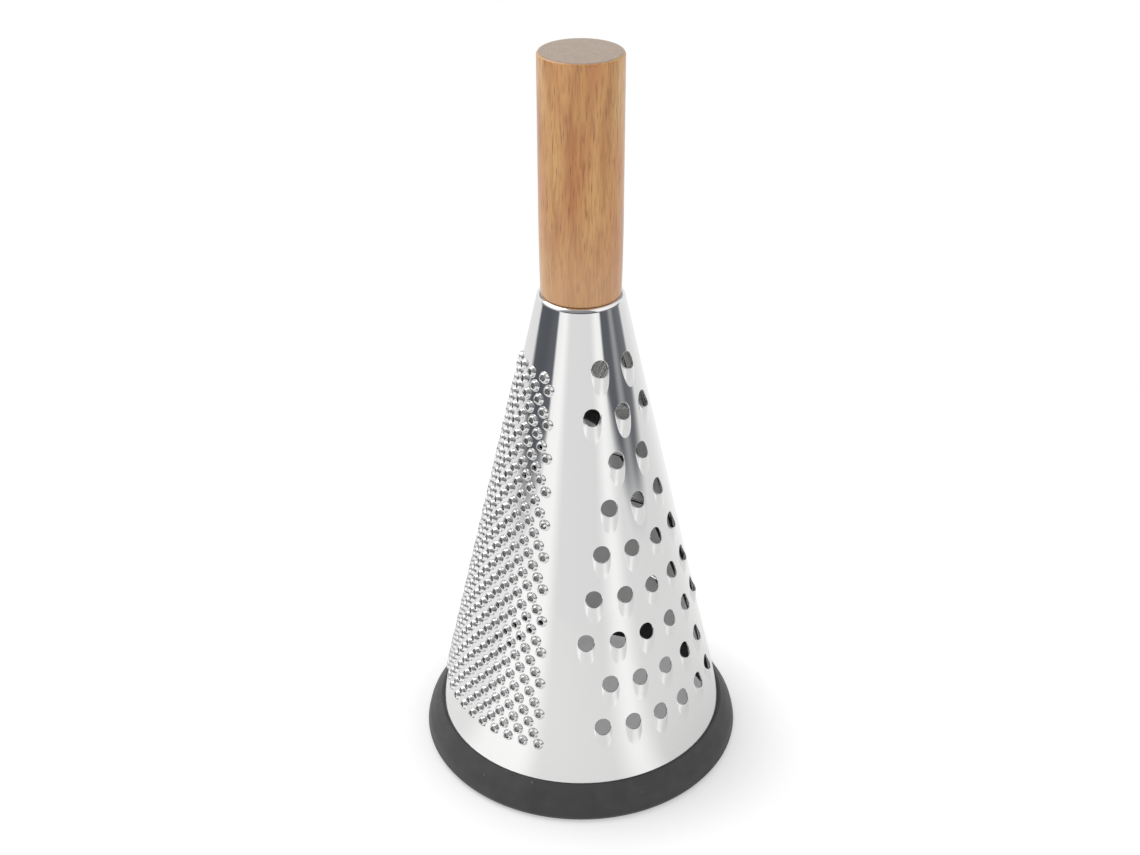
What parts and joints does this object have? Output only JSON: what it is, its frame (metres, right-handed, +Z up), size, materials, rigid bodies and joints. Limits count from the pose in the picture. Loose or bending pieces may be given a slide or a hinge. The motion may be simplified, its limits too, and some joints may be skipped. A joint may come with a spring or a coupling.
{
  "type": "conical cheese grater",
  "caption": "Standing conical hand grater of punched stainless sheet with fine, coarse and slicing faces, a turned wooden handle and a rubber foot ring.",
  "frame": {"origin": "centre of the foot ring on the surface that it stands on", "axes": "+Z up along the cone's axis through the handle; -Y towards the plain strip between the fine teeth, on the -X side, and the coarse teeth, on the +X side"},
  "size_m": [0.1274, 0.1274, 0.284],
  "materials": {
    "acacia_wood": "satin lacquer",
    "polished_steel": "mirror polished",
    "foot_rubber": "matte",
    "pressed_steel": "plain rolled",
    "screw_steel": "zinc plated",
    "insert_brass": "machined"
  },
  "bodies": {
    "root": {"handle": "acacia_wood", "grater_cone": "polished_steel", "base_ring": "foot_rubber", "support_disc": "pressed_steel", "flat_washer": "screw_steel", "lock_washer": "screw_steel", "handle_screw": "screw_steel", "threaded_insert": "insert_brass"}
  },
  "joints": []
}
